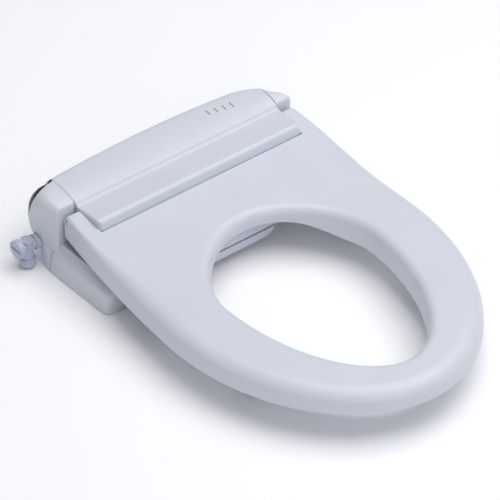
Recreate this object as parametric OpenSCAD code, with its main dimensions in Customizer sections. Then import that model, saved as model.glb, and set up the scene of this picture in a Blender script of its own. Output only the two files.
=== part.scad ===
// Electric bidet seat: an open ring seat hinged on a low base unit that holds
// the spray nozzle, its drive, the water heater, the valve and the electronics.
// Millimetres. X runs across the seat, -Y towards the user, +Z up.
// The origin lies midway between the two bowl bolts, on the bowl's rim.

/* [Seat ring] */
// Overall width of the seat
seat_w = 376; // [350:2:400]
// Distance from the bowl bolts to the seat's front tip
seat_reach = 474; // [440:2:490]
// Height of the ring's top above the bowl rim
seat_top_h = 68; // [62:1:74]
// Height of the seat's side wall
seat_wall_h = 31; // [26:1:34]
// Width of the opening
open_w = 207; // [190:1:220]
// Distance from the bowl bolts to the opening's front end
open_front = 424; // [400:2:430]
// Distance from the bowl bolts to the opening's rear end
open_rear = 117; // [114:1:126]
// How much the seat rises from the ring to the hinge arms
seat_rise = 15; // [12:1:17]
// Thickness of the seat's moulded walls
seat_wall = 3; // [2:0.25:4]
// Width of each hinge arm
arm_w = 21; // [18:0.5:23]
// Radius of the rubber feet under the ring
bumper_r = 9; // [7:0.5:10]

/* [Base unit] */
// Width of the middle cover between the two side covers
cover_w = 300; // [290:2:310]
// Overall width of the base unit at its foot
unit_w = 372; // [364:2:380]
// Height of the base unit's highest line
unit_h = 96; // [94:1:104]
// Distance of the ledge's front face before the bowl bolts
ledge_front = 39.5; // [38:0.5:41]
// Distance of the rearmost line behind the bowl bolts
unit_back = 70; // [68:1:80]
// Radius of the rear wall's bow, seen from above
rear_bow = 1200; // [1000:50:2500]
// Wall thickness of the casings
case_wall = 2.5; // [2:0.25:3]
// Height of the parting line between the lower case and the top cover
part_h = 56; // [50:1:60]
// How far the side skirts reach before the bowl bolts
skirt_reach = 93; // [85:1:100]
// Height of the side skirts
skirt_h = 36; // [30:1:36]

/* [Hinge] */
// Distance of the hinge axis before the bowl bolts
hinge_y = 2; // [0:0.5:4]
// Height of the hinge axis
hinge_z = 75.5; // [75:0.5:76.5]
// Radius of the hinge arm's round end
arm_r = 8; // [7:0.5:8.5]
// Radius of the hinge pins
pin_r = 5; // [4:0.25:5.5]
// Radius of the slow-close dampers
damper_r = 8.5; // [7.5:0.25:9]

/* [Nozzle] */
// Downward tilt of the nozzle
nozzle_tilt = 14; // [12:1:15]
// Radius of the nozzle tube
nozzle_r = 4.2; // [3.6:0.1:4.4]
// Travel of the nozzle
nozzle_travel = 100; // [90:1:100]
// Distance from the flap back to the nozzle's tip at rest
tip_gap = 50; // [48:1:52]
// Width of the nozzle housing
snout_w = 118; // [100:2:124]
// How far the nozzle housing reaches before the bowl bolts
snout_reach = 107; // [105:1:110]
// Gear module of the rack and its pinion
gear_m = 1; // [0.8:0.1:1.2]
// Number of teeth on the pinion
pinion_teeth = 16; // [14:1:18]

/* [Water inlet] */
// Height of the inlet pipe's axis
inlet_z = 30; // [28:1:32]
// Distance of the inlet pipe's axis behind the bowl bolts
inlet_y = 41; // [38:1:43]
// Outer radius of the threaded outlet that the hose screws onto
thread_r = 10.4; // [9:0.1:11]
// Length of the threaded outlet
thread_l = 9; // [7:0.5:12]

/* [Mounting plate] */
// Distance between the two bowl bolts
bolt_spacing = 140; // [130:1:160]
// Half width of the bolt slots
slot_r = 6.5; // [5.5:0.25:7]
// Length of the bolt slots, end to end
slot_l = 33; // [24:1:40]
// Thickness of the mounting plate
plate_t = 5; // [4:0.5:6]

/* [Fits] */
// Running clearance on a radius
run_gap = 0.05; // [0.03:0.01:0.1]
// Clearance between parts that only sit beside each other
seat_gap = 0.5; // [0.3:0.1:0.8]

/* [Hidden] */

white = "#d8dbe3";
arc_fn = 64;
big = 600;

// Seat outline
seat_hw = seat_w / 2;
seat_mid_y = -198;
seat_power = 2.09;
seat_taper = 15.5;
open_hw = open_w / 2;
open_mid_y = -224.5;
open_front_power = 2.05;
open_rear_power = 1.95;
seat_bottom_z = seat_top_h - seat_wall_h;
arm_drop = 12;
cover_hw = cover_w / 2;
arm_in = cover_hw + 1.5;
arm_out = arm_in + arm_w;
arm_end_y = arm_r - hinge_y;
seat_rear_y = -(ledge_front + 1.5);
notch_hw = snout_w / 2 + 9;
notch_z = 54;
plate_wall = 2.5;
shell_gap = 0.2;
bumper_stem_r = 4;
bumper_front = [128, -300];
bumper_rear = [143, -150];

// Base unit
unit_hw = unit_w / 2;
ledge_bottom_z = 78.5;
ledge_top_z = 90;
valley_z = 86;
riser_y = 10;
riser_z = 91;
side_in = cover_hw + seat_gap;
front_in_y = -ledge_front + case_wall;
foot_back = 30;
pocket_hw = 92;
pocket_h = plate_t + 7;
boss_r = 4.5;
screw_x = 134;
screw_front_y = -28;
screw_back_y = damper_r - hinge_y + boss_r + 1;
screw_r = 2;
screw_head_r = 4;
screw_head_z = part_h - 22.5;
window_y = unit_back - 15;
window_z = 54;
sensor_low = [118, 25, 80];
sensor_high = [132, 37, 110];
lens_at = [72, 40];
lens_step = 10;
lens_l = 9.6;
lens_w = 1.6;
gland_x = 120;
gland_z = 44;
gland_r = 6;
button_low = [unit_hw - 22, -30, 7];
button_high = [unit_hw + 1.5, -12, 17];

// Nozzle, in its own tilted frame: y runs back along the nozzle from the flap
flap_y = -(snout_reach - 1.5);
flap_z = 20.2;
snout_floor_z = 14.5;
snout_top_z = 48;
seam_z = 28;
snout_corner_r = 18;
tip_l = 10;
tube_l = nozzle_travel + 7;
rack_from = tip_gap + tip_l + 1;
rack_w = 3;
pinion_at = 65;
pinion_r = gear_m * pinion_teeth / 2;
pinion_x = nozzle_r + rack_w + pinion_r;
gear_h = 5;
motor_r = 9;
motor_l = 9;
shaft_r = 1.5;
guide_from = 14;
guide_to = 64 - pinion_r - 3;
guide_hw = 9;
flap_t = 1.6;
flap_pin_r = 1;
flap_hinge_z = seam_z - 0.8;
flap_pin_x = snout_w / 2 - case_wall - 2.2;

// Inlet
outlet_x = -(unit_hw + 13);
pipe_r = 7.5;
collar_r = 9.5;
plug_r = 12;
plug_face_x = outlet_x - 16;
outlet_z = 3;
inlet_end_x = -cover_hw + case_wall + 6;
supply_y = inlet_y - 2.5;
supply_z = inlet_z + 2;
supply_r = 3.2;

// Inner parts
inner_floor_z = case_wall;
heater_low = [56, -34, pocket_h + case_wall];
heater_high = [screw_x - boss_r - 2.5, screw_back_y + 2, 52];
spigot_r = 2.9;
heater_pipe_y = 0;
heater_pipe_z = 44;
valve_x = -128;
valve_y = 24;
pump_y = 28;
pump_z = 32;
board_z = 82;

// ---------- outlines ----------

function unit_v(v) = v / norm(v);

// Points that round the corner q, between neighbours p and s, to radius r
function corner(p, q, s, r, n) =
    let (a = unit_v(p - q), b = unit_v(s - q), half = acos(a * b) / 2)
    r < 0.01 || half > 89.5 ? [q] :
    let (mid = q + unit_v(a + b) * r / sin(half),
        t0 = q + a * r / tan(half) - mid, t1 = q + b * r / tan(half) - mid,
        g0 = atan2(t0[1], t0[0]), dg = atan2(t1[1], t1[0]) - g0,
        turn = dg > 180 ? dg - 360 : dg < -180 ? dg + 360 : dg)
    [for (k = [0:n]) mid + r * [cos(g0 + turn * k / n), sin(g0 + turn * k / n)]];

// A closed outline whose corners [x, y, radius] are rounded
function rounded(path, n = 6) = [for (i = [0:len(path) - 1])
    let (m = len(path), p = path[(i + m - 1) % m], q = path[i], s = path[(i + 1) % m])
    each corner([p[0], p[1]], [q[0], q[1]], [s[0], s[1]], q[2], n)];

// Right half of the seat's outer outline, from the rear to the tip
function seat_side(inset) = let (hw = seat_hw - inset, tip = seat_reach - inset + seat_mid_y)
    [for (k = [0:30]) let (a = 90 * k / 30, c = pow(cos(a), 2 / seat_power),
        s = pow(sin(a), 2 / seat_power)) [hw * c, seat_mid_y - tip * s]];

// Taper of the seat's sides behind its widest line
function rear_side(inset) = [for (k = [0:8]) let (y = arm_end_y - inset +
    (seat_mid_y - arm_end_y + inset) * k / 8, t = (y - seat_mid_y) / -seat_mid_y)
    [seat_hw - inset - seat_taper * t * t * (t > 0 ? 1 : 0), y]];

function half_seat(inset) = concat(
    [[0, seat_rear_y - inset], [arm_in + inset, seat_rear_y - inset],
    [arm_in + inset, arm_end_y - inset]],
    [for (p = rear_side(inset)) if (p[1] > seat_mid_y + 0.5) p], seat_side(inset));

// The opening, grown by the inset
function opening(grow) = let (a = open_hw + grow, bf = open_front + open_mid_y + grow,
    br = -open_mid_y - open_rear + grow) [for (k = [0:119]) let (g = 360 * k / 120,
    front = sin(g) < 0, n = front ? open_front_power : open_rear_power, b = front ? bf : br,
    c = cos(g), s = sin(g)) [a * sign(c) * pow(abs(c), 2 / n),
    open_mid_y + b * sign(s) * pow(abs(s), 2 / n)]];

module along_x(x0, x1) {
    translate([x0, 0, 0]) rotate([90, 0, 90]) linear_extrude(x1 - x0) children();
}

module along_y(y0, y1) {
    translate([0, y1, 0]) rotate([90, 0, 0]) linear_extrude(y1 - y0) children();
}

module mirrored() {
    children();
    mirror([1, 0, 0]) children();
}

module rod_x(x0, x1, y, z, r) {
    translate([x0, y, z]) rotate([0, 90, 0]) cylinder(h = x1 - x0, r = r, $fn = arc_fn);
}

module block(low, high) {
    translate(low) cube(high - low);
}

// ---------- seat ----------

// Height of the seat's top and underside at a distance before the bolts
function rise_at(y) = let (t = max(0, (y + 170) / 170)) pow(t, 1.5);
function seat_top(y) = seat_top_h + seat_rise * rise_at(y);
function seat_under(y) = let (t = max(0, (y + 170) / 170)) seat_bottom_z + arm_drop * t * t;

seat_ys = [for (k = [0:16]) -170 + 168 * k / 16];

module seat_side_view(top_inset, bottom_inset) {
    polygon(concat([[-big, seat_under(-big) + bottom_inset]],
        [for (y = seat_ys) [y, seat_under(y) + bottom_inset]],
        [[arm_end_y, seat_under(-hinge_y) + bottom_inset]],
        [for (k = [0:6]) [-hinge_y, hinge_z] + (arm_r - top_inset) *
            [cos(15 * k), sin(15 * k)]],
        [for (k = [1:16]) [seat_ys[16 - k], seat_top(seat_ys[16 - k]) - top_inset]],
        [[-big, seat_top_h - top_inset]]));
}

// The seat's outline with its opening, carried straight up
module seat_plan(inset) {
    half = half_seat(inset);
    last = len(half) - 1;
    difference() {
        translate([0, 0, -1]) linear_extrude(unit_h + 20)
            polygon(concat(half, [for (k = [1:last - 1]) [-half[last - k][0], half[last - k][1]]]));
        translate([0, 0, -2]) linear_extrude(unit_h + 22) polygon(opening(inset));
    }
}

// Solid inside the seat's outline, set in from every face
module seat_block(inset, top_inset, bottom_inset) {
    intersection() {
        seat_plan(inset);
        along_x(-big, big) seat_side_view(top_inset, bottom_inset);
    }
}

module notch(grow) {
    block([-notch_hw - grow, -150 - grow, -1], [notch_hw + grow, 0, notch_z + grow]);
}

module seat_upper_shell() {
    color(white) difference() {
        seat_block(0, 0, 0);
        difference() {
            seat_block(seat_wall, seat_wall, -5);
            mirrored() block([arm_in - 1, -26, 0], [arm_out + 5, 20, unit_h]);
        }
        notch(0);
        mirrored() rod_x(arm_in - 1, arm_out - seat_wall, -hinge_y, hinge_z, pin_r);
    }
}

module seat_lower_shell() {
    color("#c9ccd6") difference() {
        union() {
            intersection() {
                difference() {
                    seat_block(seat_wall + shell_gap, seat_wall + 1.5, 0.3);
                    translate([0, 0, plate_wall + 0.3]) seat_block(0, 0, 0);
                    notch(0);
                }
                translate([-big, -big, 0]) cube([2 * big, big - 27, big]);
            }
            intersection() {
                seat_block(seat_wall + shell_gap, seat_wall + 1.5, -20);
                difference() {
                    notch(plate_wall);
                    notch(0);
                }
            }
        }
        bumper_places() cylinder(h = 80, r = bumper_stem_r, $fn = arc_fn);
    }
}

// Foil under the upper shell: a thin band that follows the seat's top
module seat_heater() {
    far = seat_rear_y - 8;
    ys = concat([-big], [for (k = [0:12]) -170 + (far + 170) * k / 12]);
    low = seat_wall + 0.9;
    high = seat_wall + 0.3;
    color("#b9bcc4") intersection() {
        seat_plan(12);
        along_x(-big, big) polygon(concat([for (y = ys) [y, seat_top(y) - low]],
            [for (k = [1:len(ys)]) [ys[len(ys) - k], seat_top(ys[len(ys) - k]) - high]]));
    }
}

module bumper_places() {
    mirrored() {
        for (p = [bumper_front, bumper_rear]) translate([p[0], p[1], 0]) children();
    }
}

module seat_bumpers() {
    stem_top = seat_bottom_z + 0.3 + plate_wall;
    color("#8d9098") bumper_places() {
        cylinder(h = seat_bottom_z + 0.3, r = bumper_r, $fn = arc_fn);
        cylinder(h = stem_top, r = bumper_stem_r, $fn = arc_fn);
    }
}

module hinge_pin() {
    color("#b8babf") rod_x(arm_in - 45, arm_out - seat_wall, -hinge_y, hinge_z, pin_r);
}

module hinge_damper() {
    color("#e3e4e8") difference() {
        rod_x(arm_in - 60, cover_hw - case_wall, -hinge_y, hinge_z, damper_r);
        rod_x(arm_in - 46, arm_in, -hinge_y, hinge_z, pin_r + run_gap);
    }
}

// ---------- base unit ----------

// Everything before the bowed rear wall, in from it by the inset
module rear_body(inset, foot_inset) {
    back = rear_bow - inset;
    top = unit_h + 20;
    translate([0, unit_back - rear_bow, 0]) rotate_extrude($fn = 360)
        polygon(concat([[rear_bow - 300, foot_inset], [back - 40, foot_inset]],
        corner([back - 40, foot_inset], [back - 25, 15], [back - 10, 28], 12, 4),
        corner([back - 25, 15], [back - 10, 28], [back, 52], 20, 6),
        corner([back - 10, 28], [back, 46], [back, 80], 20, 4),
        corner([back, 60], [back, unit_h - inset], [back - 60, unit_h - inset], 17, 8),
        [[rear_bow - 300, unit_h - inset]]));
}

// Side view of the middle cover's upper surface, down to the height z0
module cover_view(inset, z0) {
    polygon(rounded([[-ledge_front + inset, z0, 0],
        [-ledge_front + inset, ledge_bottom_z, 2],
        [-ledge_front + 3 + inset, ledge_top_z - inset, 3.5],
        [riser_y - 5 + inset, valley_z - inset, 4],
        [riser_y + 1 + inset, riser_z - inset, 4],
        [unit_back - 26, unit_h - inset, 50],
        [unit_back + 60, unit_h - inset, 0], [unit_back + 60, z0, 0]]));
}

module middle_body(inset, z0) {
    intersection() {
        along_x(-cover_hw + inset, cover_hw - inset) cover_view(inset, z0);
        rear_body(inset, 0);
    }
}

module indicator_places() {
    for (k = [0:3]) translate([lens_at[0] + lens_step * k, lens_at[1], 0]) children();
}

module lens_block(grow) {
    block([-lens_w / 2 - grow, -lens_l / 2 - grow, 80], [lens_w / 2 + grow, lens_l / 2 + grow, 110]);
}

module top_cover() {
    color(white) difference() {
        union() {
            difference() {
                middle_body(0, part_h);
                middle_body(case_wall, part_h - 5);
            }
            intersection() {
                mirrored() for (y = [screw_front_y, screw_back_y])
                    translate([screw_x, y, part_h - 14]) cylinder(h = 60, r = boss_r, $fn = 32);
                middle_body(1, 0);
            }
        }
        mirrored() {
            rod_x(cover_hw - 8, cover_hw + 1, -hinge_y, hinge_z, pin_r + 0.8);
            for (y = [screw_front_y, screw_back_y])
                translate([screw_x, y, 0]) cylinder(h = part_h + 8, r = screw_r, $fn = 32);
        }
        indicator_places() lens_block(0.1);
        block(sensor_low - [0.2, 0.2, 0], sensor_high + [0.2, 0.2, 0]);
    }
}

module indicator_lenses() {
    color("#6f7788") intersection() {
        indicator_places() lens_block(0);
        difference() {
            middle_body(0.1, part_h);
            middle_body(case_wall + 0.5, part_h - 1);
        }
    }
}

module sensor_window() {
    color("#c3c6cf") intersection() {
        block(sensor_low, sensor_high);
        difference() {
            middle_body(0.1, part_h);
            middle_body(case_wall, part_h - 1);
        }
    }
}

module lower_case() {
    color(white) difference() {
        union() {
            difference() {
                intersection() {
                    block([-cover_hw, -ledge_front, 0], [cover_hw, unit_back + 5, part_h - seat_gap]);
                    rear_body(0, 0);
                }
                intersection() {
                    block([-cover_hw + case_wall, front_in_y, case_wall],
                        [cover_hw - case_wall, unit_back + 5, part_h + 5]);
                    rear_body(case_wall, case_wall);
                }
            }
            block([-pocket_hw - case_wall, -ledge_front, 0],
                [pocket_hw + case_wall, foot_back - 8, pocket_h + case_wall]);
            mirrored() for (y = [screw_front_y, screw_back_y])
                translate([screw_x, y, 0]) cylinder(h = part_h - 14.5, r = boss_r, $fn = 32);
        }
        block([-pocket_hw, -ledge_front - 1, -1], [pocket_hw, foot_back - 8 - case_wall, pocket_h]);
        block([-guide_hw - 10, -ledge_front - 1, snout_floor_z + case_wall],
            [pinion_x + motor_r + 2, front_in_y + 1, snout_top_z - case_wall]);
        mirrored() for (y = [screw_front_y, screw_back_y]) translate([screw_x, y, 0]) {
            translate([0, 0, -1]) cylinder(h = part_h, r = screw_r + 0.1, $fn = 32);
            translate([0, 0, -1]) cylinder(h = screw_head_z + 4, r = screw_head_r + 0.3, $fn = 32);
        }
        rod_x(-cover_hw - 1, -cover_hw + 8, inlet_y, inlet_z, pipe_r - 0.5);
        translate([gland_x, unit_back - 20, gland_z]) rotate([-90, 0, 0])
            cylinder(h = 30, r = gland_r + 0.2, $fn = 48);
    }
}

module case_screws() {
    color("#9a9ca1") mirrored() for (y = [screw_front_y, screw_back_y])
        translate([screw_x, y, screw_head_z]) {
            cylinder(h = 2.5, r = screw_head_r, $fn = 32);
            cylinder(h = 26, r = screw_r, $fn = 32);
        }
}

// Outer form of a right-hand side cover's rear block, set in by the inset
module cap_block(inset) {
    intersection() {
        rear_body(inset, inset);
        along_x(side_in, unit_hw + 5) polygon(rounded([
            [riser_y + inset, inset, 0], [riser_y + inset, riser_z - inset, 3],
            [unit_back - 26, unit_h - inset, 50], [unit_back + 60, unit_h - inset, 0],
            [unit_back + 60, inset, 0]]));
        along_y(-100, 200) polygon(rounded([[side_in - 1, -1, 0], [unit_hw - inset, -1, 0],
            [unit_hw - 2 - inset, 30, 30], [unit_hw - 8 - inset, 72, 20],
            [unit_hw - 20 - inset, unit_h - inset, 10], [side_in - 1, unit_h - inset, 0]]));
        translate([0, 0, -5]) linear_extrude(150) polygon(rounded([[0, -100, 0],
            [unit_hw + 5, -100, 0], [unit_hw - inset, 20, 60],
            [unit_hw - 4 - inset, unit_back - 12 - inset, 20], [100, unit_back + 5, 0],
            [0, unit_back + 5, 0]]));
    }
}

// Outer form of a right-hand skirt that runs forward under the seat
module skirt_block(inset) {
    intersection() {
        along_y(-skirt_reach + inset, riser_y + 6) polygon(rounded([
            [side_in + 5 + inset, inset - 1, 0], [unit_hw - inset, inset - 1, 0],
            [unit_hw - 4 - inset, 22, 5], [unit_hw - 13 - inset, 30, 5],
            [unit_hw - 14.5 - inset, skirt_h - inset, 2], [side_in + 5 + inset, skirt_h - inset, 0]]));
        translate([0, 0, inset]) linear_extrude(100) polygon(rounded([[0, 100, 0],
            [0, -skirt_reach + inset, 0], [unit_hw - 4 - inset, -skirt_reach + inset, 10],
            [unit_hw - inset, -20, 80], [unit_hw - inset, 100, 0]]));
    }
}

module side_cover() {
    recess_out = arm_out + 2;
    difference() {
        union() {
            cap_block(0);
            skirt_block(0);
        }
        intersection() {
            cap_block(case_wall);
            block([0, riser_y + 4 + case_wall, case_wall], [big, big, big]);
        }
        difference() {
            skirt_block(case_wall);
            block([0, riser_y - 2, 0], [big, big, big]);
        }
        block([side_in - 1, riser_y - 1, skirt_h + 4], [recess_out, riser_y + 4, ledge_bottom_z + 2]);
    }
}

module left_side_cover() {
    color(white) difference() {
        mirror([1, 0, 0]) side_cover();
        rod_x(-unit_hw - 20, -side_in + 1, inlet_y, inlet_z, pipe_r + 0.3);
        block([-unit_hw - 5, window_y, window_z], [-side_in + 1, unit_back + 9, unit_h + 5]);
    }
}

module right_side_cover() {
    color(white) difference() {
        side_cover();
        block(button_low + [10, -0.3, -0.3], button_high + [0.5, 0.3, 0.3]);
    }
}

module receiver_window() {
    color([0.16, 0.16, 0.18]) intersection() {
        mirror([1, 0, 0]) difference() {
            cap_block(0);
            cap_block(case_wall);
        }
        block([-unit_hw - 5, window_y + 0.1, window_z + 0.1], [-side_in, unit_back + 9, unit_h + 5]);
    }
}

module release_button() {
    color("#c4c7d0") difference() {
        block(button_low, button_high);
        block(button_low + [-1, 2, 2], button_high - [5.5, 2, 2]);
    }
}

module mounting_plate() {
    slide = (slot_l - 2 * slot_r) / 2;
    color("#d9dadd") difference() {
        block([-pocket_hw + seat_gap, -ledge_front + 4, 0],
            [pocket_hw - seat_gap, foot_back - 11, plate_t]);
        mirrored() translate([bolt_spacing / 2, 0, -1]) {
            mirrored() translate([slide, 0, 0]) cylinder(h = plate_t + 2, r = slot_r, $fn = arc_fn);
            block([-slide, -slot_r, 0], [slide, slot_r, plate_t + 2]);
        }
    }
}

module cord_gland() {
    color("#caccd3") translate([gland_x, unit_back - 13, gland_z]) rotate([-90, 0, 0]) difference() {
        union() {
            translate([0, 0, -4]) cylinder(h = 16, r = gland_r, $fn = 48);
            translate([0, 0, 9]) cylinder(h = 3, r = gland_r + 2, $fn = 48);
        }
        translate([0, 0, -5]) cylinder(h = 18, r = gland_r - 2.4, $fn = 48);
    }
}

// ---------- nozzle ----------

module nozzle_frame() {
    translate([0, flap_y, flap_z]) rotate([nozzle_tilt, 0, 0]) children();
}

module rod_y(y0, y1, r) {
    translate([0, y0, 0]) rotate([-90, 0, 0]) cylinder(h = y1 - y0, r = r, $fn = arc_fn);
}

module snout_view(inset) {
    hw = snout_w / 2 - inset;
    polygon(rounded([[-hw, snout_top_z - inset, 4], [-hw, snout_floor_z + inset, snout_corner_r],
        [hw, snout_floor_z + inset, snout_corner_r], [hw, snout_top_z - inset, 4]]));
}

module nozzle_housing() {
    color("#cfd2db") difference() {
        along_y(-snout_reach, -ledge_front - 0.3) snout_view(0);
        along_y(-snout_reach + case_wall, 0) snout_view(case_wall);
        along_y(-snout_reach - 1, -snout_reach + case_wall + 1) intersection() {
            snout_view(2);
            translate([-big, 0]) square([2 * big, seam_z + 0.5]);
        }
        nozzle_frame() rod_y(-10, tip_gap, nozzle_r + 0.4);
    }
}

module nozzle_shutter() {
    color("#c8cbd5") union() {
        along_y(flap_y - flap_t / 2, flap_y + flap_t / 2) intersection() {
            snout_view(2.5);
            translate([-big, 0]) square([2 * big, flap_hinge_z]);
        }
        rod_x(-flap_pin_x, flap_pin_x, flap_y, flap_hinge_z, flap_pin_r);
    }
}

module nozzle_tube() {
    color("#e9eaee") nozzle_frame() difference() {
        rod_y(tip_gap + tip_l, tip_gap + tip_l + tube_l, nozzle_r);
        rod_y(tip_gap + tip_l - 1, tip_gap + tip_l + tube_l + 1, nozzle_r - 1.6);
    }
}

module nozzle_tip() {
    color("#f1f2f4") nozzle_frame() difference() {
        union() {
            rod_y(tip_gap + nozzle_r, tip_gap + tip_l, nozzle_r);
            translate([0, tip_gap + nozzle_r, 0]) sphere(r = nozzle_r, $fn = arc_fn);
            rod_y(tip_gap + tip_l - 1, tip_gap + tip_l + 6, nozzle_r - 1.6);
        }
        for (x = [-1.4, 0, 1.4]) translate([x, tip_gap + nozzle_r + 1, 0])
            cylinder(h = 10, r = 0.45, $fn = 24);
        rod_y(tip_gap + nozzle_r, tip_gap + tip_l + 7, nozzle_r - 3.2);
    }
}

// Rack teeth point to +X; a gap faces the pinion's nearest tooth at rest
module nozzle_rack() {
    pitch = PI * gear_m;
    rack_l = tip_gap + tip_l + tube_l - rack_from;
    first = pinion_at - pitch * (floor((pinion_at - rack_from - 1) / pitch + 0.5) - 0.5);
    teeth = floor((rack_l - first + rack_from - 1.1 * gear_m) / pitch) + 1;
    face = nozzle_r + rack_w;
    color("#dfe0e4") nozzle_frame() difference() {
        translate([0, 0, -gear_h / 2]) linear_extrude(gear_h) {
            polygon([[nozzle_r - 1, rack_from], [face - 1.25 * gear_m, rack_from],
                [face - 1.25 * gear_m, rack_from + rack_l], [nozzle_r - 1, rack_from + rack_l]]);
            for (k = [0:teeth - 1]) translate([face, first + pitch * k])
                polygon([[-1.3 * gear_m, -1.05 * gear_m], [0.75 * gear_m, -0.3 * gear_m],
                    [0.75 * gear_m, 0.3 * gear_m], [-1.3 * gear_m, 1.05 * gear_m]]);
        }
        rod_y(rack_from - 1, rack_from + rack_l + 1, nozzle_r + 0.02);
    }
}

module drive_pinion() {
    step = 360 / pinion_teeth;
    color("#f2f2f0") nozzle_frame() translate([pinion_x, pinion_at, -gear_h / 2 + 0.2])
        difference() {
            linear_extrude(gear_h - 0.4) {
                circle(r = pinion_r - 1.2 * gear_m, $fn = 48);
                for (k = [0:pinion_teeth - 1]) rotate([0, 0, 180 + step * k])
                    polygon([[pinion_r - 1.6 * gear_m, -1.0 * gear_m],
                        [pinion_r + 0.75 * gear_m, -0.3 * gear_m],
                        [pinion_r + 0.75 * gear_m, 0.3 * gear_m],
                        [pinion_r - 1.6 * gear_m, 1.0 * gear_m]]);
            }
            translate([0, 0, -1]) cylinder(h = gear_h + 2, r = shaft_r + run_gap, $fn = 48);
        }
}

module nozzle_motor() {
    color("#a9abb0") nozzle_frame() translate([pinion_x, pinion_at, 0]) {
        translate([0, 0, -gear_h / 2 - 0.5 - motor_l]) cylinder(h = motor_l, r = motor_r, $fn = arc_fn);
        translate([0, 0, -gear_h / 2 - 1]) cylinder(h = gear_h + 1.5, r = shaft_r, $fn = 48);
    }
}

// Cradle under the tube; its front foot stands on the housing's floor
module nozzle_guide() {
    floor_z = snout_floor_z + case_wall + 0.1;
    color("#d2d4da") difference() {
        guide_ramp();
        block([-guide_hw - 1, -snout_reach, 0], [guide_hw + 1, 0, floor_z]);
    }
}

module guide_ramp() {
    nozzle_frame() difference() {
        union() {
            block([-guide_hw, guide_from, -8.5], [guide_hw, guide_to, -1]);
            block([-guide_hw, guide_to, -8.5], [nozzle_r - 2, tip_gap + tip_l + tube_l - 4, -3.4]);
        }
        rod_y(guide_from - 1, tip_gap + tip_l + tube_l, nozzle_r + run_gap);
        block([nozzle_r - 0.8, 0, -gear_h / 2 - 0.4], [guide_hw + 1, 400, 10]);
    }
}

// ---------- water and electrics ----------

// Instant heater with its outlet spigot towards the middle
module water_heater() {
    color("#c98f5a") {
        block([heater_low[0], heater_low[1], heater_low[2]], heater_high);
        rod_x(heater_low[0] - 10.5, heater_low[0] + 2, heater_pipe_y, heater_pipe_z, spigot_r);
        for (k = [0:4]) translate([heater_low[0] + 8 + 13 * k, 0, 0])
            block([0, heater_low[1] + 2, heater_high[2] - 1], [3, heater_pipe_y - 5, heater_high[2] + 3]);
    }
}

module heater_sensor() {
    color("#8f959c") translate([heater_low[0] + 31, heater_high[1] - 9, heater_high[2]]) {
        cylinder(h = 3, r = 7, $fn = 48);
        translate([0, 0, 3]) cylinder(h = 8, r = 3.5, $fn = 48);
    }
}

// Solenoid valve: a body on a foot with its coil towards the front
module inlet_valve() {
    color("#3b5f8f") {
        block([valve_x, valve_y - 14, inner_floor_z + 16], [valve_x + 24, valve_y + 14, pump_z + 14]);
        block([valve_x + 4, valve_y - 12, inner_floor_z + 0.1], [valve_x + 20, valve_y - 4.5, pump_z]);
        translate([valve_x + 12, valve_y - 13, pump_z]) rotate([90, 0, 0])
            cylinder(h = 24, r = 10, $fn = arc_fn);
    }
}

module flow_pump() {
    color("#4a4d55") {
        rod_x(valve_x + 24.2, valve_x + 66, pump_y, pump_z, 12);
        rod_x(valve_x + 65, valve_x + 74, pump_y, pump_z, 4);
    }
}

module supply_pipe() {
    color("#e6e2d2") rod_x(inlet_end_x - 5, valve_x, supply_y, supply_z, supply_r);
}

// Pipe from the pump along the rear wall, then forward to the heater's spigot
module heater_pipe() {
    bend_x = heater_low[0] - 8;
    color("#e6e2d2") difference() {
        union() {
            rod_x(valve_x + 74, bend_x + 4, pump_y, pump_z, 4);
            translate([bend_x, pump_y, pump_z - 4]) cylinder(h = heater_pipe_z - pump_z + 9, r = 5, $fn = 48);
            translate([bend_x, heater_pipe_y - 5, heater_pipe_z]) rotate([-90, 0, 0])
                cylinder(h = pump_y - heater_pipe_y + 5, r = 4, $fn = 48);
        }
        rod_x(bend_x - 3, bend_x + 20, heater_pipe_y, heater_pipe_z, spigot_r + 0.1);
    }
}

// Board under the top cover, on two posts of the heater's bracket
module control_board() {
    color("#2f6b45") block([34, 18, board_z], [heater_high[0] + 14, 50, board_z + 1.6]);
    color("#2b2d30") {
        block([50, 22, board_z + 1.6], [62, 34, board_z + 3]);
        block([100, 20, board_z + 1.6], [106, 26, board_z + 4]);
    }
}

module power_supply() {
    color("#7c6f9a") block([heater_low[0] + 6, heater_high[1] + 4, heater_low[2]],
        [heater_high[0], heater_high[1] + 20, board_z]);
}

// ---------- water inlet ----------

module inlet_body() {
    color("#c2c6d2") difference() {
        union() {
            rod_x(outlet_x - 8, -side_in, inlet_y, inlet_z, pipe_r);
            rod_x(-side_in - 1, inlet_end_x, inlet_y, inlet_z, pipe_r - 0.8);
            rod_x(-unit_hw - 4, -unit_hw + 1.5, inlet_y, inlet_z, collar_r);
            translate([outlet_x, inlet_y, outlet_z + 1])
                cylinder(h = inlet_z - outlet_z + pipe_r, r = pipe_r + 0.4, $fn = arc_fn);
            translate([outlet_x, inlet_y, outlet_z]) cylinder(h = thread_l, r = thread_r, $fn = arc_fn);
        }
        rod_x(outlet_x - 12, -cover_hw, inlet_y, inlet_z, pipe_r - 2);
        rod_x(-cover_hw - 1, -cover_hw + 20, supply_y, supply_z, supply_r);
        translate([outlet_x, inlet_y, outlet_z - 1]) cylinder(h = inlet_z - outlet_z, r = 5, $fn = arc_fn);
    }
}

module inlet_gasket() {
    color("#3c3d42") difference() {
        rod_x(outlet_x - 9.5, outlet_x - 8, inlet_y, inlet_z, pipe_r);
        rod_x(outlet_x - 10, outlet_x - 7, inlet_y, inlet_z, pipe_r - 2);
    }
}

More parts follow.
